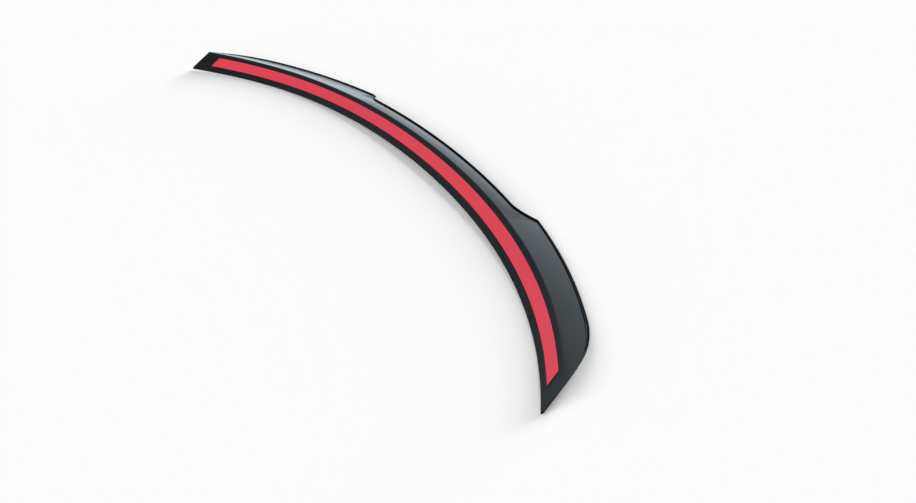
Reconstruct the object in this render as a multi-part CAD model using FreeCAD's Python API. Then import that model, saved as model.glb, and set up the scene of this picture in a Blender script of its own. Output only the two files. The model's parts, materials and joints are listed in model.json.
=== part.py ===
"""Spoiler extension for a boot lid: one moulded strip with a taped bonding flange.

Each piece is worked out first as it sits on the car: X runs across the car, Y to the rear and Z up,
with the middle of the flange's front edge at the origin. A section stands square to the front edge
at each station, which is the distance across the car from the middle. In a section, reach runs
rearwards along the flange and rise stands square to it, with the bonding face at a rise of zero.

The finished pieces are then turned over, bonding side up, into the pose in which the loose strip
comes to rest. Sizes are in millimetres and degrees.
"""
import FreeCAD, Part
import math
import os
from types import SimpleNamespace

SIZES = [
    ("span", 1280.0, "across the car, tip to tip of the front edge"),
    ("tip_sweep", 152.3, "how far the tips stand in front of the middle"),
    ("mid_sweep", 31.0, "the same, half-way out to a tip"),
    ("tip_drop", 63.4, "how far the tips lie below the middle"),
    ("mid_drop", 9.7, "the same, half-way out to a tip"),
    ("tip_roll", 20.9, "turn of the flange at the tips, rear edge down"),
    ("flange_width", 39.4, "flat bonding face, front to rear"),
    ("flange_wall", 4.5, "wall of the flange in front of the blade"),
    ("thin_wall", 1.5, "wall of the flange along its front edge and its ends"),
    ("lead_round", 0.6, "rounding along the front edge"),
    ("end_rake", 22.5, "how far the rear corner of an end stands inboard of its tip"),
    ("tip_width", 2.5, "blunt width of the flange at a tip"),
    ("crease_run", 1.0, "rounding in the crease between flange and blade"),
    ("centre_reach", 20.6, "blade behind the flange, middle"),
    ("centre_rise", 22.5, "height of the blade over the bonding face, middle"),
    ("notch_station", 263.0, "sharp corner where a wing begins"),
    ("notch_run", 25.0, "from the foot of the step to that corner"),
    ("notch_blend", 20.0, "half length of the curve at the foot of the step"),
    ("wing_reach", 35.1, "blade behind the flange at the sharp corner"),
    ("wing_rise", 43.2, "height of the blade at the sharp corner"),
    ("outer_run", 82.5, "from the outer corner of a wing to the rear corner of the end"),
    ("outer_blend", 40.0, "half length of the curve at the outer corner"),
    ("outer_reach", 21.6, "blade behind the flange at the outer corner"),
    ("outer_rise", 36.9, "height of the blade at the outer corner"),
    ("end_reach", 0.6, "blade behind the flange where it runs out"),
    ("end_rise", 1.8, "height of the blade where it runs out"),
    ("edge_wall", 2.6, "wall of the blade in front of its rim, square to the flange"),
    ("rim_height", 6.5, "height of the rim along the trailing edge"),
    ("rim_width", 1.4, "thickness of the rim"),
    ("gutter_run", 2.6, "hollow curve between blade and rim"),
    ("tape_margin", 11.5, "from the front edge to the tape"),
    ("tape_width", 19.0, "width of the bonding tape"),
    ("tape_seat", 0.02, "hairline between the bonding face and the tape, which keeps the curved faces clear"),
    ("tape_wall", 0.8, "thickness of the foam tape"),
    ("tape_end_gap", 30.0, "from the end edge to the end of the tape, along the strip"),
    ("liner_wall", 0.1, "thickness of the film over the tape"),
]

SPAN_STATIONS = 9
TAPE_STATIONS = 33
TOUCH_STATIONS = 121
ROUND_STEPS = 3
SHARE_BLEND = 0.3
SEW_TOLERANCE = 0.001
STEEPEST_LEAN = 60.0
LEAN_TOLERANCE = 0.001


def make_sheet(doc):
    """Put the driving sizes into a sheet, one aliased cell each, and read them back."""
    sheet = doc.addObject("Spreadsheet::Sheet", "Sizes")
    for row, (alias, value, meaning) in enumerate(SIZES, start=1):
        sheet.set(f"A{row}", alias)
        sheet.set(f"B{row}", str(value))
        sheet.set(f"C{row}", meaning)
        sheet.setAlias(f"B{row}", alias)
    doc.recompute()
    return SimpleNamespace(**{alias: float(sheet.get(alias)) for alias, _, _ in SIZES})


def spread(start, stop, count):
    """Evenly spaced values from start to stop."""
    return [start + (stop - start) * k / (count - 1) for k in range(count)]


def even_curve(tip, mid, half, station):
    """Value and slope of an even quartic: zero in the middle, mid half-way out and tip at the end."""
    quartic = (4.0 * tip - 16.0 * mid) / 3.0
    quadratic = tip - quartic
    u = station / half
    return quadratic * u**2 + quartic * u**4, (2.0 * quadratic * u + 4.0 * quartic * u**3) / half


def bend(distance, half):
    """A level line that turns to a slope of one, the turn spread over half on each side of zero."""
    turning = min(max(distance + half, 0.0), 2.0 * half)
    return turning**2 / (4.0 * half) + max(distance - half, 0.0)


def rounded(start, corner, stop):
    """Points of a round stretch that leaves start towards the corner and comes to stop from it."""
    return [
        tuple((1.0 - t) ** 2 * a + 2.0 * t * (1.0 - t) * c + t**2 * b for a, c, b in zip(start, corner, stop))
        for t in spread(0.0, 1.0, ROUND_STEPS + 1)
    ]


class Strip:
    """The strip's geometry, worked out from the sizes. A chain is a row of section points, reach and rise."""

    def __init__(self, size):
        self.size = size
        self.half = size.span / 2.0
        self.end = self.half - size.end_rake
        self.notch = size.notch_station
        self.foot = self.notch - size.notch_run
        self.outer = self.end - size.outer_run

    def point(self, station, reach, rise):
        """Place in space of a point of the section at a station."""
        sweep, sweep_slope = even_curve(self.size.tip_sweep, self.size.mid_sweep, self.half, station)
        drop, drop_slope = even_curve(self.size.tip_drop, self.size.mid_drop, self.half, station)
        roll = -math.radians(self.size.tip_roll) * (station / self.half) ** 2
        tangent = FreeCAD.Vector(1.0, -sweep_slope, -drop_slope)
        square = FreeCAD.Vector(sweep_slope, 1.0, 0.0).normalize()
        along = square * math.cos(roll) + FreeCAD.Vector(0.0, 0.0, math.sin(roll))
        up = tangent.cross(along).normalize()
        return FreeCAD.Vector(station, -sweep, -drop) + along * reach + up * rise

    def places(self, station, chain):
        """The chain's points in space."""
        return [self.point(station, *at) for at in chain(station)]

    def flange_width(self, station):
        """Full width as far as the rear corner of the end, then straight down to the blunt tip."""
        size = self.size
        past = max(abs(station) - self.end, 0.0) / size.end_rake
        return size.flange_width + (size.tip_width - size.flange_width) * past

    def trailing_edge(self, station):
        """Reach and rise of the blade's top edge: level middle, step, straight wing, rounded outer corner."""
        size = self.size
        out = abs(station)
        middle = (size.centre_reach, size.centre_rise)
        wing = (size.wing_reach, size.wing_rise)
        outer = (size.outer_reach, size.outer_rise)
        end = (size.end_reach, size.end_rise)
        if out <= self.notch:
            climb = bend(out - self.foot, size.notch_blend) / bend(size.notch_run, size.notch_blend)
            reach, rise = (m + (w - m) * climb for m, w in zip(middle, wing))
        else:
            turned = bend(out - self.outer, size.outer_blend)
            along_wing = (out - self.notch - turned) / (self.outer - self.notch)
            along_end = turned / size.outer_run
            reach, rise = (w + (o - w) * along_wing + (e - o) * along_end for w, o, e in zip(wing, outer, end))
        return size.flange_width + reach, rise

    def rear_wall(self, station):
        """Wall of the flange along its rear side: even, then thinning from the outer corner to the end."""
        size = self.size
        start = self.outer - size.outer_blend
        past = min(max((abs(station) - start) / (self.end - start), 0.0), 1.0)
        return size.flange_wall + (size.thin_wall - size.flange_wall) * past

    def flange_chain(self, station):
        """Round the flange from the top of its rear side, over the front edge and back under it."""
        width, wall, radius = self.flange_width(station), self.size.thin_wall, self.size.lead_round
        front = rounded((radius, wall), (0.0, wall), (0.0, wall - radius))
        return [(width, self.rear_wall(station)), *front, (0.0, 0.0), (width, 0.0)]

    def blade_chain(self, station):
        """Round the blade: up its hollow back, over the rim and down the front to the crease.

        Where the blade runs out, and is less than four times as wide as rim and gutter, these shrink
        with it, as the crease does, and its walls thin to the end's.
        """
        size = self.size
        root, wall = size.flange_width, self.rear_wall(station)
        edge, top = self.trailing_edge(station)
        room = (edge - root) / (4.0 * (size.rim_width + size.gutter_run))
        share = room - bend(room - 1.0, SHARE_BLEND)
        edge_wall, rim_height = (
            size.thin_wall + (full - size.thin_wall) * share for full in (size.edge_wall, size.rim_height))
        crease = root + size.crease_run * share
        slope = (top - wall) / (edge - crease)
        rim_front = edge - size.rim_width * share
        rim_foot = top - rim_height
        hollow = rim_front - size.gutter_run * share
        hollow_rise = wall + slope * (hollow - crease) - edge_wall
        back_slope = hollow_rise / (hollow - root)
        gutter_corner = (rim_front, back_slope * (rim_front - root))
        crease_rear = (2.0 * crease - root, wall + slope * (crease - root))
        return [
            (root, 0.0),
            *rounded((hollow, hollow_rise), gutter_corner, (rim_front, rim_foot)),
            (edge, rim_foot),
            (edge, top),
            *rounded(crease_rear, (crease, wall), (root, wall)),
        ]

    def end_chain(self, station):
        """The flange's rear side, where no blade stands on it."""
        width = self.flange_width(station)
        return [(width, 0.0), (width, self.rear_wall(station))]

    def tape_places(self, share, near, far):
        """Corners of a layer on the bonding face, at a share of its half length, its ends cut along the rake."""
        size = self.size
        front, rear = size.tape_margin, size.tape_margin + size.tape_width
        corners = [(front, -near), (rear, -near), (rear, -far), (front, -far)]
        return [
            self.point(share * (self.half - size.end_rake * reach / size.flange_width - size.tape_end_gap), reach, rise)
            for reach, rise in corners
        ]


def ruled_face(first, second):
    """Face that runs straight across from one smooth edge to another with the same parameters."""
    poles = [list(pair) for pair in zip(first.getPoles(), second.getPoles())]
    surface = Part.BSplineSurface()
    surface.buildFromPolesMultsKnots(
        poles, first.getMultiplicities(), [2, 2], first.getKnots(), [0.0, 1.0], False, False, first.Degree, 1)
    return surface.toShape()


def end_slope(points):
    """Slope at the first of a row of evenly spaced points, of the quartic through the first five."""
    first, *others = points[:5]
    slope = first * -25.0
    for weight, place in zip((48.0, -36.0, 16.0, -3.0), others):
        slope += place * weight
    return slope * ((len(points) - 1) / 12.0)


def skin(rows):
    """Faces over rows of points: a smooth edge along each column, and straight across between the edges."""
    parameters = spread(0.0, 1.0, len(rows))
    edges = []
    for column in zip(*rows):
        edge = Part.BSplineCurve()
        edge.interpolate(
            Points=list(column), Parameters=parameters, InitialTangent=end_slope(column),
            FinalTangent=-end_slope(column[::-1]), Scale=False)
        edges.append(edge)
    return [ruled_face(first, second) for first, second in zip(edges, edges[1:])]


def flat_face(points):
    """Face inside a closed row of points."""
    return Part.Face(Part.makePolygon(points + points[:1]))


def closed_solid(faces):
    """One solid from faces that meet along their edges."""
    shape = Part.makeCompound(faces)
    shape.sewShape(SEW_TOLERANCE)
    solid = Part.makeSolid(shape.Shells[0])
    if solid.Volume < 0.0:
        solid.reverse()
    return solid


def moulding_shape(strip):
    """Flange and blade in one: a skin over sections, broken where the outline or its curvature breaks."""
    size = strip.size
    side = [strip.foot - size.notch_blend, strip.notch, strip.outer - size.outer_blend, strip.end, strip.half]
    breaks = [-station for station in reversed(side)] + side
    faces = []
    for start, stop in zip(breaks, breaks[1:]):
        pointed = max(abs(start), abs(stop)) > strip.end
        rear_chain = strip.end_chain if pointed else strip.blade_chain
        for chain in (strip.flange_chain, rear_chain):
            faces += skin([strip.places(station, chain) for station in spread(start, stop, SPAN_STATIONS)])
    for sign in (-1.0, 1.0):
        faces.append(flat_face(strip.places(sign * strip.end, strip.blade_chain)))
        faces.append(flat_face(strip.places(sign * strip.half, strip.flange_chain)))
    return closed_solid(faces)


def tape_shape(strip, near, far):
    """A layer of the tape between two distances from the bonding face."""
    rows = [strip.tape_places(share, near, far) for share in spread(-1.0, 1.0, TAPE_STATIONS)]
    faces = skin([row + row[:1] for row in rows])
    for front_near, rear_near, rear_far, front_far in (rows[0], rows[-1]):
        faces.append(Part.makeRuledSurface(Part.makeLine(front_near, rear_near), Part.makeLine(front_far, rear_far)))
    return closed_solid(faces)


def resting_place(strip, moulding):
    """Turn the strip over into the pose that brings its weight lowest, and centre it on the origin.

    The lean is closed in on from both sides: the third that holds the higher weight is dropped each time.
    """
    weight = moulding.CenterOfMass
    touches = [strip.point(s, *strip.trailing_edge(s)) for s in spread(0.0, strip.end, TOUCH_STATIONS)]
    touches.append(strip.point(strip.notch, *strip.trailing_edge(strip.notch)))
    for station in spread(0.0, strip.half, TOUCH_STATIONS):
        touches += strip.places(station, strip.flange_chain)

    def weight_over_floor(lean):
        down = FreeCAD.Vector(0.0, -math.sin(math.radians(lean)), math.cos(math.radians(lean)))
        return max((place - weight).dot(down) for place in touches)

    low, high = 0.0, STEEPEST_LEAN
    while high - low > LEAN_TOLERANCE:
        third = (high - low) / 3.0
        if weight_over_floor(low + third) > weight_over_floor(high - third):
            low += third
        else:
            high -= third
    turn = FreeCAD.Placement(FreeCAD.Vector(), FreeCAD.Rotation(180.0, 0.0, 180.0 - low))
    box = moulding.transformed(turn.toMatrix(), copy=True).optimalBoundingBox(False)
    turn.Base = FreeCAD.Vector(0.0, -box.Center.y, -box.ZMin)
    return turn


def add_piece(doc, label, shape):
    """A document object that carries one piece."""
    piece = doc.addObject("Part::Feature", label)
    piece.Label = label
    piece.Shape = shape
    return piece


def check_pieces(doc, pieces):
    """Stop if any object failed or any piece isn't one sound solid."""
    for thing in doc.Objects:
        if {"Invalid", "Error"} & set(thing.State):
            raise RuntimeError(f"{thing.Label} failed: {thing.State}")
    for piece in pieces:
        if piece.Shape.isNull() or not piece.Shape.isValid() or len(piece.Shape.Solids) != 1:
            raise RuntimeError(f"{piece.Label} isn't one sound solid")


def main():
    doc = FreeCAD.newDocument("spoiler_extension")
    size = make_sheet(doc)
    strip = Strip(size)
    tape_face = size.tape_seat + size.tape_wall
    pieces = [
        add_piece(doc, "spoiler_moulding", moulding_shape(strip)),
        add_piece(doc, "foam_tape", tape_shape(strip, size.tape_seat, tape_face)),
        add_piece(doc, "release_liner", tape_shape(strip, tape_face, tape_face + size.liner_wall)),
    ]
    place = resting_place(strip, pieces[0].Shape)
    for piece in pieces:
        piece.Placement = place
    doc.recompute()
    check_pieces(doc, pieces)
    os.makedirs("parts", exist_ok=True)
    for piece in pieces:
        piece.Shape.exportStep(f"parts/{piece.Label}.step")


main()
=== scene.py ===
"""Looks of the spoiler extension: a gloss moulded strip with a taped flange, lying bonding side up.

The strip is drawn from the same sections as the solid model, with its edges rounded and the blade's
back slightly bowed. A section stands square to the flange's front edge at each station, the distance
from the middle of the strip. Reach runs from the front edge towards the blade, rise stands square to
the flange, and the bonding face is at a rise of zero. Everything is in metres.
"""

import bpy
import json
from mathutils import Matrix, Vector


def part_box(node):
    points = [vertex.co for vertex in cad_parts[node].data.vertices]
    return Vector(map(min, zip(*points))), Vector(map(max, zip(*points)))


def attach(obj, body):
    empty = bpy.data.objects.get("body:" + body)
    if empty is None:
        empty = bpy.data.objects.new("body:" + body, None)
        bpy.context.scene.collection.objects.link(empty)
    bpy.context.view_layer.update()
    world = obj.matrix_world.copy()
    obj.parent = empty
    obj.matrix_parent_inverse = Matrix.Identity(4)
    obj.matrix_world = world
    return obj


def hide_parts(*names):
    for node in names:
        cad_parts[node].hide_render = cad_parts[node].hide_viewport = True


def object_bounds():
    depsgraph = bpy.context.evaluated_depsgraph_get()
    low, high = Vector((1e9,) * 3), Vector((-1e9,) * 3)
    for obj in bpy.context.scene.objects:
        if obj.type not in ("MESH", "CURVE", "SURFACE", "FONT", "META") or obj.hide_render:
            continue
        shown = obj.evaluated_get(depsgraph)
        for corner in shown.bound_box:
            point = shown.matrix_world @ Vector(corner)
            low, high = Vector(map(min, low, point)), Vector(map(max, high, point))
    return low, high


bl_info = {
    "name": "Spoiler extension",
    "version": (1, 0, 0),
    "blender": (4, 5, 0),
    "location": "View3D > Sidebar > Strip",
    "description": "Draws a gloss moulded boot-lid strip with its bonding tape on a studio floor",
    "category": "Object",
}

import json
import math

import bpy
import numpy as np
from mathutils import Matrix, Vector

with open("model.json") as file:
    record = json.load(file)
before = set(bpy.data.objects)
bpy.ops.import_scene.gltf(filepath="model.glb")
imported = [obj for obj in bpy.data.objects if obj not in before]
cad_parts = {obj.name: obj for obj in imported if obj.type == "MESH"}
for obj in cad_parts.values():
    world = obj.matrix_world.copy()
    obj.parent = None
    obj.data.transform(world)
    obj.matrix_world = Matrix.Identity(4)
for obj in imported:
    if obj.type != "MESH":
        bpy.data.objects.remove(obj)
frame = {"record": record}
cad_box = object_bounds()

MM = 0.001
# Half width of the bend at which the rim reaches its full size, as a share of that size
SHARE_BLEND = 0.3
# Share of the blade's back that is bowed, and share of the rim's inner wall that is curved
BOWED_SHARE = 0.96
CURVED_SHARE = 0.35
# Places along a long flat of a section at which it is divided
WIDE_FLAT = (0.02, 0.1, 0.3, 0.5, 0.7, 0.9, 0.98)
SHORT_FLAT = (0.1, 0.5, 0.9)


def linear(code):
    """Linear colour of an sRGB hex value."""
    srgb = np.array([int(code[k:k + 2], 16) for k in (1, 3, 5)]) / 255.0
    return tuple(np.where(srgb <= 0.04045, srgb / 12.92, ((srgb + 0.055) / 1.055) ** 2.4))


def length(name, millimetres, description):
    """A length for the sidebar."""
    return bpy.props.FloatProperty(
        name=name, description=description, default=millimetres * MM, min=0.0, precision=5, unit="LENGTH")


def angle(name, degrees, description):
    """An angle for the sidebar."""
    return bpy.props.FloatProperty(
        name=name, description=description, default=math.radians(degrees), subtype="ANGLE", unit="ROTATION")


def colour(name, code, description):
    """A colour for the sidebar."""
    return bpy.props.FloatVectorProperty(
        name=name, description=description, default=linear(code), min=0.0, max=1.0, size=3, subtype="COLOR")


def level(name, share, description):
    """A share of the light under which a white floor is just white, for the sidebar."""
    return bpy.props.FloatProperty(
        name=name, description=description, default=share, min=0.0, max=1.0, subtype="FACTOR")


class StripSizes(bpy.types.PropertyGroup):
    """Sizes of the moulding and of the tape on it."""

    span: length("Span", 1280.0, "Tip to tip of the front edge")
    tip_sweep: length("Tip sweep", 152.3, "How far the tips stand in front of the middle")
    mid_sweep: length("Mid sweep", 31.0, "The same, half-way out to a tip")
    tip_drop: length("Tip drop", 63.4, "How far the tips lie below the middle on the car")
    mid_drop: length("Mid drop", 9.7, "The same, half-way out to a tip")
    tip_roll: angle("Tip roll", 20.9, "Turn of the flange at the tips")
    flange_width: length("Flange width", 39.4, "Flat bonding face, front to rear")
    flange_wall: length("Flange wall", 4.5, "Wall of the flange in front of the blade")
    thin_wall: length("Thin wall", 1.5, "Wall of the flange along its front edge and its ends")
    lead_round: length("Front rounding", 0.6, "Rounding along the top of the front edge")
    end_rake: length("End rake", 22.5, "How far the rear corner of an end stands inboard of its tip")
    tip_width: length("Tip width", 2.5, "Blunt width of the flange at a tip")
    tip_round: length("Tip rounding", 0.55, "How far the tips are dulled")
    crease_run: length("Crease", 1.0, "Rounding in the crease between flange and blade")
    root_round: length("Root rounding", 1.2, "Rounding where the bonding face turns into the blade's back")
    centre_reach: length("Centre reach", 20.6, "Blade behind the flange, middle")
    centre_rise: length("Centre rise", 22.5, "Height of the blade over the bonding face, middle")
    notch_station: length("Notch station", 263.0, "Corner where a wing begins")
    notch_run: length("Notch run", 25.0, "From the foot of the step to that corner")
    notch_blend: length("Notch blend", 20.0, "Half length of the curve at the foot of the step")
    notch_round: length("Notch rounding", 0.8, "Half length of the curve at the corner itself")
    wing_reach: length("Wing reach", 35.1, "Blade behind the flange at the corner")
    wing_rise: length("Wing rise", 43.2, "Height of the blade at the corner")
    outer_run: length("Outer run", 82.5, "From the outer corner of a wing to the rear corner of the end")
    outer_blend: length("Outer blend", 40.0, "Half length of the curve at the outer corner")
    outer_reach: length("Outer reach", 21.6, "Blade behind the flange at the outer corner")
    outer_rise: length("Outer rise", 36.9, "Height of the blade at the outer corner")
    end_reach: length("End reach", 0.6, "Blade behind the flange where it runs out")
    end_rise: length("End rise", 1.8, "Height of the blade where it runs out")
    edge_wall: length("Edge wall", 2.6, "Wall of the blade in front of its gutter, square to the flange")
    rim_height: length("Rim height", 6.5, "Height of the rim along the trailing edge, lip to top")
    rim_width: length("Rim width", 1.4, "Thickness of the rim")
    rim_round: length("Rim rounding", 0.3, "Rounding along the edges of the rim's lip")
    top_round: length("Top rounding", 0.8, "Rounding along the trailing edge")
    rim_growth: length("Rim growth", 16.0, "Blade behind the flange at which the rim has its full size")
    gutter_run: length("Gutter", 0.8, "Hollow curve between blade and rim")
    back_bow: length("Back bow", 1.6, "Twice the depth of the slight bow in the blade's back")
    tape_margin: length("Tape margin", 11.5, "From the front edge to the tape")
    tape_width: length("Tape width", 19.0, "Width of the bonding tape")
    tape_seat: length("Tape seat", 0.02, "Hairline between the bonding face and the tape")
    tape_wall: length("Tape wall", 0.8, "Thickness of the foam tape")
    tape_end_gap: length("Tape end gap", 30.0, "From the end edge to the end of the tape, along the strip")
    tape_round: length("Tape rounding", 0.12, "Rounding along the edges of the foam")
    liner_wall: length("Film wall", 0.1, "Thickness of the film over the tape")
    liner_round: length("Film rounding", 0.03, "Rounding along the edges of the film")


class StripColours(bpy.types.PropertyGroup):
    """Colours of the pieces and of the floor."""

    plastic: colour("Plastic", "#0B0F14", "Body colour of the moulded plastic")
    foam: colour("Foam", "#33363A", "Colour of the foam tape's edges")
    # Painted shade: the foam's colour darkened in the hollow of each cut cell
    foam_cell_painted_shade: colour("Foam shade", "#2A2D30", "Darker tone inside the foam's cells")
    film: colour("Film", "#F3475A", "Colour of the release film")
    # Painted shade: the film's red darkened in the dips of its ripples
    film_ripple_painted_shade: colour("Film shade", "#EE4355", "Darker tone where the film lies a little deeper")
    floor: colour("Floor", "#FCFCFC", "Studio floor")
    backdrop: colour("Backdrop", "#E6F2F9", "Cool white of the studio that the gloss mirrors")


class StripStage(bpy.types.PropertyGroup):
    """Camera and light."""

    camera_place: bpy.props.FloatVectorProperty(
        name="Camera", description="Place of the camera", default=(1.5859, -0.6375, 0.9206), unit="LENGTH")
    camera_target: bpy.props.FloatVectorProperty(
        name="Target", description="Point on the floor that the camera looks at",
        default=(0.2697, -0.0196, 0.0), unit="LENGTH")
    camera_roll: angle("Camera roll", 7.118, "Turn of the camera to the right about its own line of sight")
    lens: bpy.props.FloatProperty(
        name="Lens", description="Focal length in millimetres on a sensor 36 mm wide", default=47.639)
    ambient: level("Ambient", 0.22, "Light on the floor from all round")
    key: level("Key", 0.46, "Light on the floor from the key light, which throws the shadow")
    key_size: angle("Key size", 36.0, "How large the key light looks from the strip")
    key_turn: angle("Key direction", 103.0, "Direction that the key light comes from, round from +X to +Y")
    key_height: angle("Key height", 20.0, "Height of the key light over the horizon")
    fill: level("Fill", 0.33, "Light on the floor from the fill light, on the film's side")
    fill_size: angle("Fill size", 60.0, "How large the fill light looks from the strip")
    fill_turn: angle("Fill direction", -75.0, "Direction that the fill light comes from")
    fill_height: angle("Fill height", 31.0, "Height of the fill light over the horizon")
    walls: level("Walls", 0.29, "Brightness of the studio's walls in the gloss")
    haze: level("Haze", 0.64, "Brightness round the backdrop in the gloss")
    backdrop: bpy.props.FloatProperty(
        name="Backdrop", description="How much brighter the backdrop's middle is in the gloss", default=1.8)
    backdrop_turn: angle("Backdrop direction", 165.0, "Direction of the backdrop's middle")
    backdrop_height: angle("Backdrop height", -8.0, "Height of the backdrop's middle over the horizon")
    backdrop_fall: bpy.props.FloatProperty(
        name="Backdrop fall", description="Power of the cosine with which the backdrop fades", default=8.0)


# Shape of the strip

def even_quartic(tip, mid, half, station):
    """Value and slope of q u^2 + r u^4 with u = station / half: mid at u = 1/2 and tip at u = 1."""
    fourth = (4.0 * tip - 16.0 * mid) / 3.0
    second = tip - fourth
    u = station / half
    return second * u**2 + fourth * u**4, (2.0 * second * u + 4.0 * fourth * u**3) / half


def bend(distance, half):
    """Zero that turns to a slope of one, joined by a parabola over half on each side of distance zero."""
    turning = np.clip(distance + half, 0.0, 2.0 * half)
    return turning**2 / (4.0 * half) + np.maximum(distance - half, 0.0)


def unit(vectors):
    """The same directions with a length of one."""
    return vectors / np.linalg.norm(vectors, axis=-1, keepdims=True)


def carried(sizes, station, reach, rise):
    """Section points in space as the strip sits on the car: front edge + along * reach + up * rise.

    The front edge is (station, -sweep, -drop), both even quartics. Along lies square to it in plan and is
    turned down by a roll that grows with the square of the station, and up is tangent x along.
    """
    half = sizes.span / 2.0
    station, reach, rise = np.broadcast_arrays(station, reach, rise)
    sweep, sweep_slope = even_quartic(sizes.tip_sweep, sizes.mid_sweep, half, station)
    drop, drop_slope = even_quartic(sizes.tip_drop, sizes.mid_drop, half, station)
    roll = -sizes.tip_roll * (station / half) ** 2
    one, none = np.ones_like(station), np.zeros_like(station)
    square = unit(np.stack([sweep_slope, one, none], -1))
    along = square * np.cos(roll)[..., None] + np.stack([none, none, np.sin(roll)], -1)
    up = unit(np.cross(np.stack([one, -sweep_slope, -drop_slope], -1), along))
    front = np.stack([station, -sweep, -drop], -1)
    return front + along * reach[..., None] + up * rise[..., None]


def turned_over(places):
    """Places after the strip is turned over on its long axis and leans as the frame's bonding face does."""
    axis = Vector(frame["record"]["mounts"][0]["axis"])
    lean = math.atan2(-axis.y, axis.z)
    cos, sin = math.cos(lean), math.sin(lean)
    x, y, z = np.moveaxis(places, -1, 0)
    return np.stack([-x, y * cos + z * sin, y * sin - z * cos], -1)


def ends_of(sizes):
    """Stations of the step's foot, notch corner, outer corner, the end's rear corner and the tip."""
    half = sizes.span / 2.0
    end = half - sizes.end_rake
    return sizes.notch_station - sizes.notch_run, sizes.notch_station, end - sizes.outer_run, end, half


def strip_stations(sizes):
    """Stations from tip to tip, close together where the outline turns and wide apart where it runs on."""
    foot, notch, outer, end, half = ends_of(sizes)
    step, wing, tip = foot - sizes.notch_blend, outer - sizes.outer_blend, half - sizes.tip_round
    beside = 3.0 * sizes.notch_round
    marks = [0.0, step, notch - beside, notch + beside, wing, end, tip]
    counts = [28, 44, 16, 34, 52, 14]
    side = [np.linspace(a, b, n, endpoint=False) for a, b, n in zip(marks, marks[1:], counts)]
    side = np.concatenate(side + [[tip]])
    return np.concatenate([-side[:0:-1], side])


def trailing_edge(sizes, station):
    """Reach behind the flange and rise of the blade's top edge, as arrays over the stations.

    From the level middle a bend climbs to the notch corner. From there a straight line falls along the
    wing, and a second bend turns it down to the end. Before and after the corner, distances blend, so the
    corner is a small curve. Past the end both stay as they are there.
    """
    foot, notch, outer, end, _ = ends_of(sizes)
    out = np.minimum(np.abs(station), end)
    before = -bend(notch - out, sizes.notch_round)
    climb = bend(notch + before - foot, sizes.notch_blend) / bend(notch - foot, sizes.notch_blend)
    turned = bend(out - outer, sizes.outer_blend)
    along_wing = (out - notch - before - turned) / (outer - notch)
    along_end = turned / sizes.outer_run
    keys = (
        (sizes.centre_reach, sizes.wing_reach, sizes.outer_reach, sizes.end_reach),
        (sizes.centre_rise, sizes.wing_rise, sizes.outer_rise, sizes.end_rise),
    )
    return [
        middle + (wing - middle) * climb + (corner - wing) * along_wing + (last - corner) * along_end
        for middle, wing, corner, last in keys]


def rounded_ring(corners, cuts, steps, flats):
    """Closed rings of section points: corners cut back and rounded, with points along the flats between.

    A corner c between the points a and b, cut back on either side, becomes the curve
    (1 - t)^2 a + 2 t (1 - t) c + t^2 b. corners is (rows, corners, 2), cuts (rows, corners, 2) in metres,
    steps the number of spans round each corner and flats the shares at which the next flat is divided.
    """
    ahead = unit(np.roll(corners, -1, axis=1) - corners)
    behind = unit(np.roll(corners, 1, axis=1) - corners)
    starts = corners + behind * cuts[..., :1]
    stops = corners + ahead * cuts[..., 1:]
    pieces = []
    for k, (spans, shares) in enumerate(zip(steps, flats)):
        t = np.linspace(0.0, 1.0, spans + 1)[None, :, None]
        a, c, b = starts[:, k, None], corners[:, k, None], stops[:, k, None]
        pieces.append((1.0 - t) ** 2 * a + 2.0 * t * (1.0 - t) * c + t**2 * b)
        f = np.array(shares).reshape(1, -1, 1)
        following = starts[:, (k + 1) % corners.shape[1], None]
        pieces.append(b + (following - b) * f)
    return np.concatenate(pieces, axis=1)


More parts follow.
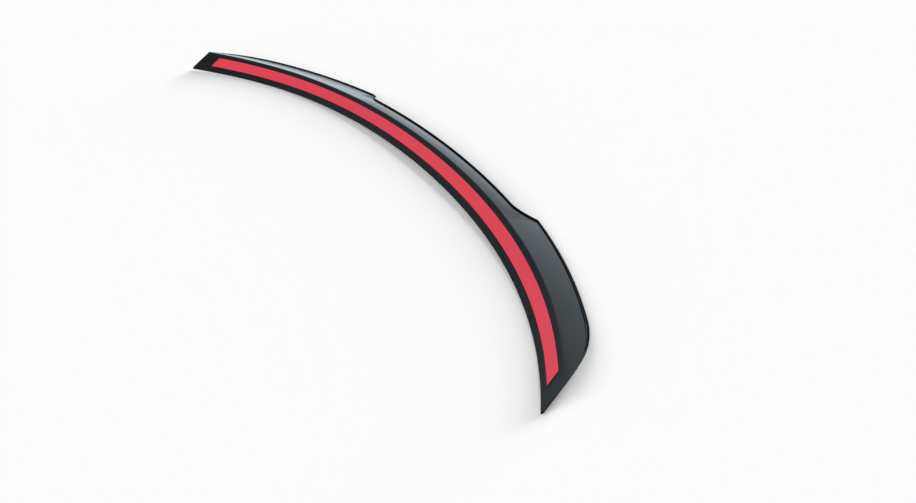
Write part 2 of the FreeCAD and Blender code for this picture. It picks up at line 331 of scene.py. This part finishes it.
def moulding_rings(sizes, station):
    """Section rings of the moulding: flange, bowed back, gutter, rim, front of the blade and crease.

    Where the blade runs out towards the end, its share of the full section falls and rim, gutter,
    bow, crease and roundings shrink with it. The bow is a parabola over the corner that stands off the
    middle of the straight back by back_bow * share.
    """
    _, _, outer, end, _ = ends_of(sizes)
    past = np.maximum(np.abs(station) - end, 0.0) / sizes.end_rake
    reach, top = trailing_edge(sizes, station)
    edge = sizes.flange_width + reach + (sizes.tip_width - sizes.flange_width - reach) * past
    root = edge - reach
    start = outer - sizes.outer_blend
    thinning = np.clip((np.abs(station) - start) / (end - start), 0.0, 1.0)
    wall = sizes.flange_wall + (sizes.thin_wall - sizes.flange_wall) * thinning
    room = reach / sizes.rim_growth
    share = room - bend(room - 1.0, SHARE_BLEND)
    edge_wall, rim_height = (
        sizes.thin_wall + (full - sizes.thin_wall) * share for full in (sizes.edge_wall, sizes.rim_height))
    crease = root + sizes.crease_run * share
    slope = (top - wall) / (edge - crease)
    rim_front = edge - sizes.rim_width * share
    lip = top - rim_height
    hollow = rim_front - sizes.gutter_run * share
    hollow_rise = wall + slope * (hollow - crease) - edge_wall
    gutter_rise = hollow_rise * (rim_front - root) / (hollow - root)
    back = np.hypot(hollow - root, hollow_rise)
    bow = sizes.back_bow * share / back
    bow_reach = (root + hollow) / 2.0 + bow * hollow_rise
    bow_rise = hollow_rise / 2.0 - bow * (hollow - root)
    none = np.zeros_like(station)
    corners = np.stack([
        np.stack([none, none], -1),
        np.stack([root, none], -1),
        np.stack([bow_reach, bow_rise], -1),
        np.stack([rim_front, gutter_rise], -1),
        np.stack([rim_front, lip], -1),
        np.stack([edge, lip], -1),
        np.stack([edge, top], -1),
        np.stack([crease, wall], -1),
        np.stack([none, none + sizes.thin_wall], -1),
    ], axis=1)
    front = none + sizes.lead_round / 2.0
    root_cut, lip_cut, top_cut = (
        size * share for size in (sizes.root_round, sizes.rim_round, sizes.top_round))
    crease_cut = (crease - root) * np.hypot(1.0, slope)
    gutter_cut = np.hypot(rim_front - hollow, gutter_rise - hollow_rise)
    inside_cut = CURVED_SHARE * (gutter_rise - lip - lip_cut)
    inner_cut = BOWED_SHARE * (np.hypot(bow_reach - root, bow_rise) - root_cut)
    outer_cut = BOWED_SHARE * (np.hypot(rim_front - bow_reach, gutter_rise - bow_rise) - gutter_cut)
    cuts = np.stack([
        np.stack([front, front], -1),
        np.stack([root_cut, root_cut], -1),
        np.stack([inner_cut, outer_cut], -1),
        np.stack([gutter_cut, inside_cut], -1),
        np.stack([lip_cut, lip_cut], -1),
        np.stack([lip_cut, lip_cut], -1),
        np.stack([top_cut, top_cut], -1),
        np.stack([crease_cut, crease - root], -1),
        np.stack([none + sizes.lead_round, none + sizes.lead_round], -1),
    ], axis=1)
    steps = (3, 6, 12, 12, 4, 4, 6, 8, 4)
    flats = (WIDE_FLAT, (), (), SHORT_FLAT, (0.5,), SHORT_FLAT, WIDE_FLAT, WIDE_FLAT, ())
    return rounded_ring(corners, cuts, steps, flats)


def tape_rings(sizes, share, near, far, radius):
    """Stations and section rings of a layer of the tape between two distances from the bonding face.

    Share runs from -1 to 1 along the tape. The tape's half length falls with the reach as the end's rake
    does.
    """
    front, rear = sizes.tape_margin, sizes.tape_margin + sizes.tape_width
    box = np.array([(front, -near), (rear, -near), (rear, -far), (front, -far)])
    corners = np.broadcast_to(box, (share.size, 4, 2))
    cuts = np.full(corners.shape, radius)
    rings = rounded_ring(corners, cuts, (2, 2, 2, 2), (WIDE_FLAT, (), WIDE_FLAT, ()))
    raked_off = sizes.end_rake * rings[..., 0] / sizes.flange_width
    half_length = sizes.span / 2.0 - raked_off - sizes.tape_end_gap
    return share[:, None] * half_length, rings


def seat(sizes):
    """Move that puts the turned strip where its solid lies in the frame: their lowest corners meet."""
    station = strip_stations(sizes)
    rings = moulding_rings(sizes, station)
    places = turned_over(carried(sizes, station[:, None], rings[..., 0], rings[..., 1]))
    lowest = np.array(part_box("spoiler_moulding")[0])
    return np.array([0.0, 1.0, 1.0]) * (lowest - places.reshape(-1, 3).min(0))


def ring_mesh(name, places, surface):
    """A closed piece from rings of places: quads between neighbouring rings, and a face over each end.

    The UV map holds surface coordinates in metres: the station along the strip and the reach across it.
    """
    rows, columns = places.shape[:2]
    index = np.arange(rows * columns).reshape(rows, columns)
    turn = np.roll(index, -1, axis=1)
    quads = np.stack([index[:-1], index[1:], turn[1:], turn[:-1]], -1).reshape(-1, 4)
    mesh = bpy.data.meshes.new(name)
    mesh.from_pydata(
        places.reshape(-1, 3).tolist(), [], quads.tolist() + [index[0].tolist(), index[-1, ::-1].tolist()])
    corner = np.empty(len(mesh.loops), dtype=np.int32)
    mesh.loops.foreach_get("vertex_index", corner)
    on_corners = surface.reshape(-1, 2)[corner].astype(np.float32)
    mesh.uv_layers.new(name="strip").data.foreach_set("uv", on_corners.ravel())
    mesh.polygons.foreach_set("use_smooth", np.ones(len(mesh.polygons), dtype=bool))
    mesh.update()
    mesh.validate()
    piece = bpy.data.objects.new(name, mesh)
    bpy.context.scene.collection.objects.link(piece)
    return piece


def dress(piece, node, material):
    """Give a piece its material and its place on the body, and hide the solid that it stands for."""
    piece.data.materials.append(material)
    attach(piece, "root")
    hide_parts(node)


# Materials

def add_node(tree, kind, settings=None, inputs=None):
    """Add a node. Settings are its own properties; an input is a value or another node's output."""
    node = tree.nodes.new(kind)
    for key, value in (settings or {}).items():
        setattr(node, key, value)
    for key, value in (inputs or {}).items():
        if isinstance(value, bpy.types.NodeSocket):
            tree.links.new(value, node.inputs[key])
        else:
            node.inputs[key].default_value = value
    return node


def new_material(name):
    """An empty node material and its tree with an output."""
    material = bpy.data.materials.new(name)
    material.use_nodes = True
    tree = material.node_tree
    tree.nodes.clear()
    return material, tree, add_node(tree, "ShaderNodeOutputMaterial")


def opaque(rgb):
    """A colour socket's value."""
    return (*rgb, 1.0)


def gloss_abs_moulded(colours):
    """Gloss ABS, injection moulded and unpainted.

    Nearly black all through, so almost all that the eye sees is the mirrored studio, a little softened.
    Slow changes of gloss follow the flow of the plastic, and a faint ripple keeps long reflections alive.
    """
    material, tree, output = new_material("gloss_abs_moulded")
    place = add_node(tree, "ShaderNodeTexCoord").outputs["Object"]
    flow_size, ripple_size = 60.0 * MM, 9.0 * MM
    flow = add_node(tree, "ShaderNodeTexNoise", inputs={
        "Vector": place, "Scale": 1.0 / flow_size, "Detail": 3.0})
    gloss = add_node(tree, "ShaderNodeMapRange", inputs={
        "Value": flow.outputs["Fac"], "From Min": 0.3, "From Max": 0.7, "To Min": 0.16, "To Max": 0.2})
    ripple = add_node(tree, "ShaderNodeTexNoise", inputs={
        "Vector": place, "Scale": 1.0 / ripple_size, "Detail": 1.0})
    bump = add_node(tree, "ShaderNodeBump", inputs={
        "Height": ripple.outputs["Fac"], "Strength": 0.02, "Distance": 0.2 * MM})
    shader = add_node(tree, "ShaderNodeBsdfPrincipled", inputs={
        "Base Color": opaque(colours.plastic), "Roughness": gloss.outputs["Result"], "IOR": 1.53,
        "Normal": bump.outputs["Normal"]})
    tree.links.new(shader.outputs["BSDF"], output.inputs["Surface"])
    return material


def acrylic_foam_cut(colours):
    """Acrylic foam tape, cast and slit to width.

    Matt dark grey. The slit sides show closed cells about 0.15 mm wide, drawn four times as coarse so that
    they show at all. Painted shade darkens each cell towards its hollow middle.
    """
    material, tree, output = new_material("acrylic_foam_cut")
    place = add_node(tree, "ShaderNodeTexCoord").outputs["Object"]
    cell_size = 0.6 * MM
    cells = add_node(tree, "ShaderNodeTexVoronoi", inputs={"Vector": place, "Scale": 1.0 / cell_size})
    # Painted shade: darker towards each cell's hollow middle, where the bump sinks it
    tone = add_node(tree, "ShaderNodeMix", {"data_type": "RGBA"})
    tree.links.new(cells.outputs["Distance"], tone.inputs["Factor"])
    tone.inputs["A"].default_value = opaque(colours.foam_cell_painted_shade)
    tone.inputs["B"].default_value = opaque(colours.foam)
    bump = add_node(tree, "ShaderNodeBump", inputs={
        "Height": cells.outputs["Distance"], "Strength": 0.3, "Distance": 0.1 * MM})
    shader = add_node(tree, "ShaderNodeBsdfPrincipled", inputs={
        "Base Color": tone.outputs["Result"], "Roughness": 0.85, "IOR": 1.47,
        "Normal": bump.outputs["Normal"]})
    tree.links.new(shader.outputs["BSDF"], output.inputs["Surface"])
    return material


def release_film_pressed(colours):
    """Polyethylene release film, blown and pressed on to the tape.

    Even red with a soft satin. Faint long ripples run with the tape, where the film follows the foam, and
    painted shade darkens the red where the ripples dip.
    """
    material, tree, output = new_material("release_film_pressed")
    uv = add_node(tree, "ShaderNodeUVMap", {"uv_map": "strip"}).outputs["UV"]
    ripple_length, ripple_width = 90.0 * MM, 4.0 * MM
    stretched = add_node(tree, "ShaderNodeMapping", inputs={
        "Vector": uv, "Scale": (1.0 / ripple_length, 1.0 / ripple_width, 1.0)})
    ripple = add_node(tree, "ShaderNodeTexNoise", inputs={
        "Vector": stretched.outputs["Vector"], "Scale": 1.0, "Detail": 2.0})
    # Painted shade: darker red where the ripples dip, as the bump sinks them
    tone = add_node(tree, "ShaderNodeMix", {"data_type": "RGBA"})
    tree.links.new(ripple.outputs["Fac"], tone.inputs["Factor"])
    tone.inputs["A"].default_value = opaque(colours.film_ripple_painted_shade)
    tone.inputs["B"].default_value = opaque(colours.film)
    bump = add_node(tree, "ShaderNodeBump", inputs={
        "Height": ripple.outputs["Fac"], "Strength": 0.1, "Distance": 0.1 * MM})
    shader = add_node(tree, "ShaderNodeBsdfPrincipled", inputs={
        "Base Color": tone.outputs["Result"], "Roughness": 0.45, "IOR": 1.51,
        "Normal": bump.outputs["Normal"]})
    tree.links.new(shader.outputs["BSDF"], output.inputs["Surface"])
    return material


def floor_paper(colours):
    """Matt white studio paper: no gloss of its own, so only the strip's shadow shows on it."""
    material, tree, output = new_material("floor_paper")
    shader = add_node(tree, "ShaderNodeBsdfDiffuse", inputs={"Color": opaque(colours.floor)})
    tree.links.new(shader.outputs["BSDF"], output.inputs["Surface"])
    return material


def studio_world(stage, colours):
    """Even soft light from all round, and white where the camera looks past the floor.

    Mirrored rays see the studio: dim walls in front, haze and a bright backdrop behind the strip, and a
    dark ceiling and ground. The backdrop is haze + backdrop * max(cos a, 0)^fall, with a the angle from
    its middle. Each edge below is a pair of heights or depths of the unit direction, dark and lit.
    """
    dark = 0.03
    ceiling_edge, ground_edge, behind_edge = (0.7, 0.45), (-0.13, -0.03), (-0.1, 0.2)
    world = bpy.data.worlds.new("studio")
    bpy.context.scene.world = world
    world.use_nodes = True
    tree = world.node_tree
    tree.nodes.clear()
    rays = add_node(tree, "ShaderNodeLightPath")
    direction = add_node(tree, "ShaderNodeTexCoord").outputs["Generated"]
    turn, height = stage.backdrop_turn, stage.backdrop_height
    aim = (math.cos(height) * math.cos(turn), math.cos(height) * math.sin(turn), math.sin(height))
    facing = add_node(tree, "ShaderNodeVectorMath", {"operation": "DOT_PRODUCT"}, {0: direction, 1: aim})
    ahead = add_node(tree, "ShaderNodeMath", {"operation": "MAXIMUM"}, {0: facing.outputs["Value"], 1: 0.0})
    fade = add_node(tree, "ShaderNodeMath", {"operation": "POWER"}, {
        0: ahead.outputs["Value"], 1: stage.backdrop_fall})
    glow = add_node(tree, "ShaderNodeMath", {"operation": "MULTIPLY_ADD"}, {
        0: fade.outputs["Value"], 1: stage.backdrop, 2: stage.haze})
    axes = add_node(tree, "ShaderNodeSeparateXYZ", inputs={"Vector": direction})

    def lit_from(axis, edge, least):
        """Share of light along an axis, from least on the dark side of an edge to one on its lit side."""
        return add_node(tree, "ShaderNodeMapRange", {"interpolation_type": "SMOOTHSTEP"}, {
            "Value": axes.outputs[axis], "From Min": edge[0], "From Max": edge[1], "To Min": least,
            "To Max": 1.0}).outputs["Result"]

    below_ceiling = add_node(tree, "ShaderNodeMath", {"operation": "MULTIPLY"}, {
        0: glow.outputs["Value"], 1: lit_from("Z", ceiling_edge, dark)})
    sides = add_node(tree, "ShaderNodeMix", inputs={
        "Factor": lit_from("Y", behind_edge, 0.0), "A": stage.walls, "B": below_ceiling.outputs["Value"]})
    seen = add_node(tree, "ShaderNodeMath", {"operation": "MULTIPLY"}, {
        0: sides.outputs["Result"], 1: lit_from("Z", ground_edge, dark)}).outputs["Value"]
    white = (1.0, 1.0, 1.0, 1.0)
    ambient = add_node(tree, "ShaderNodeBackground", inputs={"Color": white, "Strength": stage.ambient})
    mirrored = add_node(tree, "ShaderNodeBackground", inputs={
        "Color": opaque(colours.backdrop), "Strength": seen})
    paper = add_node(tree, "ShaderNodeBackground", inputs={"Color": white, "Strength": 1.0})
    gloss = add_node(tree, "ShaderNodeMath", {"operation": "MAXIMUM"}, {
        0: rays.outputs["Is Glossy Ray"], 1: rays.outputs["Is Transmission Ray"]})
    mix = add_node(tree, "ShaderNodeMixShader", inputs={
        0: gloss.outputs["Value"], 1: ambient.outputs["Background"], 2: mirrored.outputs["Background"]})
    mix = add_node(tree, "ShaderNodeMixShader", inputs={
        0: rays.outputs["Is Camera Ray"], 1: mix.outputs["Shader"], 2: paper.outputs["Background"]})
    output = add_node(tree, "ShaderNodeOutputWorld")
    tree.links.new(mix.outputs["Shader"], output.inputs["Surface"])


def add_lamp(name, share, size, turn, height):
    """A soft far lamp that gives the floor a share of its light: strength = share * pi / sin(height)."""
    light = bpy.data.lights.new(name, "SUN")
    light.energy = share * math.pi / math.sin(height)
    light.angle = size
    lamp = bpy.data.objects.new(name, light)
    aim = Vector((math.cos(height) * math.cos(turn), math.cos(height) * math.sin(turn), math.sin(height)))
    lamp.rotation_euler = aim.to_track_quat("Z", "Y").to_euler()
    lamp.visible_glossy = False
    bpy.context.scene.collection.objects.link(lamp)


# Operators

class STRIP_OT_moulding(bpy.types.Operator):
    """Draw the gloss moulding"""

    bl_idname = "strip.moulding"
    bl_label = "Moulding"

    def execute(self, context):
        sizes = context.scene.strip_sizes
        station = strip_stations(sizes)
        rings = moulding_rings(sizes, station)
        places = turned_over(carried(sizes, station[:, None], rings[..., 0], rings[..., 1])) + seat(sizes)
        surface = np.stack(np.broadcast_arrays(station[:, None], rings[..., 0]), -1)
        piece = ring_mesh("gloss_moulding", places, surface)
        dress(piece, "spoiler_moulding", gloss_abs_moulded(context.scene.strip_colours))
        return {"FINISHED"}


def tape_layer(sizes, name, near, far, radius):
    """One layer of the tape as a piece."""
    station, rings = tape_rings(sizes, np.linspace(-1.0, 1.0, 321), near, far, radius)
    places = turned_over(carried(sizes, station, rings[..., 0], rings[..., 1])) + seat(sizes)
    return ring_mesh(name, places, np.stack([station, rings[..., 0]], -1))


class STRIP_OT_foam(bpy.types.Operator):
    """Draw the foam tape on the bonding face"""

    bl_idname = "strip.foam"
    bl_label = "Foam tape"

    def execute(self, context):
        sizes = context.scene.strip_sizes
        face = sizes.tape_seat + sizes.tape_wall
        piece = tape_layer(sizes, "foam_strip", sizes.tape_seat, face, sizes.tape_round)
        dress(piece, "foam_tape", acrylic_foam_cut(context.scene.strip_colours))
        return {"FINISHED"}


class STRIP_OT_film(bpy.types.Operator):
    """Draw the release film on the tape"""

    bl_idname = "strip.film"
    bl_label = "Release film"

    def execute(self, context):
        sizes = context.scene.strip_sizes
        face = sizes.tape_seat + sizes.tape_wall
        piece = tape_layer(sizes, "release_film", face, face + sizes.liner_wall, sizes.liner_round)
        dress(piece, "release_liner", release_film_pressed(context.scene.strip_colours))
        return {"FINISHED"}


class STRIP_OT_stage(bpy.types.Operator):
    """Set up the floor, the light and the camera"""

    bl_idname = "strip.stage"
    bl_label = "Stage"

    def execute(self, context):
        scene = context.scene
        stage = scene.strip_stage
        scene.view_settings.view_transform = "Standard"
        half, ground = 20.0, cad_box[0][2]
        corners = ((-half, -half), (half, -half), (half, half), (-half, half))
        mesh = bpy.data.meshes.new("floor")
        mesh.from_pydata([(x, y, ground) for x, y in corners], [], [(0, 1, 2, 3)])
        floor = bpy.data.objects.new("floor", mesh)
        floor.data.materials.append(floor_paper(scene.strip_colours))
        scene.collection.objects.link(floor)
        # The gloss mirrors the studio's dark ground instead, as the strip's flange and rim show it
        floor.visible_glossy = False
        studio_world(stage, scene.strip_colours)
        add_lamp("key", stage.key, stage.key_size, stage.key_turn, stage.key_height)
        add_lamp("fill", stage.fill, stage.fill_size, stage.fill_turn, stage.fill_height)
        data = bpy.data.cameras.new("camera")
        data.lens = stage.lens
        data.sensor_width = 36.0
        data.sensor_fit = "HORIZONTAL"
        camera = bpy.data.objects.new("camera", data)
        sight = Vector(stage.camera_target) - Vector(stage.camera_place)
        level_turn = sight.to_track_quat("-Z", "Y").to_matrix()
        roll = Matrix.Rotation(-stage.camera_roll, 3, "Z")
        camera.matrix_world = Matrix.LocRotScale(Vector(stage.camera_place), level_turn @ roll, None)
        scene.collection.objects.link(camera)
        scene.camera = camera
        return {"FINISHED"}


class STRIP_PT_panel(bpy.types.Panel):
    """Lists the strip's pieces, sizes and colours"""

    bl_label = "Spoiler extension"
    bl_idname = "STRIP_PT_panel"
    bl_space_type = "VIEW_3D"
    bl_region_type = "UI"
    bl_category = "Strip"

    def draw(self, context):
        for operator in PIECES:
            self.layout.operator(operator.bl_idname)
        for group in (context.scene.strip_sizes, context.scene.strip_colours, context.scene.strip_stage):
            column = self.layout.column(align=True)
            for name in group.__annotations__:
                column.prop(group, name)


PIECES = (STRIP_OT_moulding, STRIP_OT_foam, STRIP_OT_film, STRIP_OT_stage)
GROUPS = {"strip_sizes": StripSizes, "strip_colours": StripColours, "strip_stage": StripStage}
CLASSES = (*GROUPS.values(), *PIECES, STRIP_PT_panel)


def register():
    for cls in CLASSES:
        bpy.utils.register_class(cls)
    for name, group in GROUPS.items():
        setattr(bpy.types.Scene, name, bpy.props.PointerProperty(type=group))


def unregister():
    for name in GROUPS:
        delattr(bpy.types.Scene, name)
    for cls in reversed(CLASSES):
        bpy.utils.unregister_class(cls)


def main():
    """Draw every piece."""
    register()
    bpy.ops.strip.moulding()
    bpy.ops.strip.foam()
    bpy.ops.strip.film()
    bpy.ops.strip.stage()


if __name__ == "__main__":
    main()
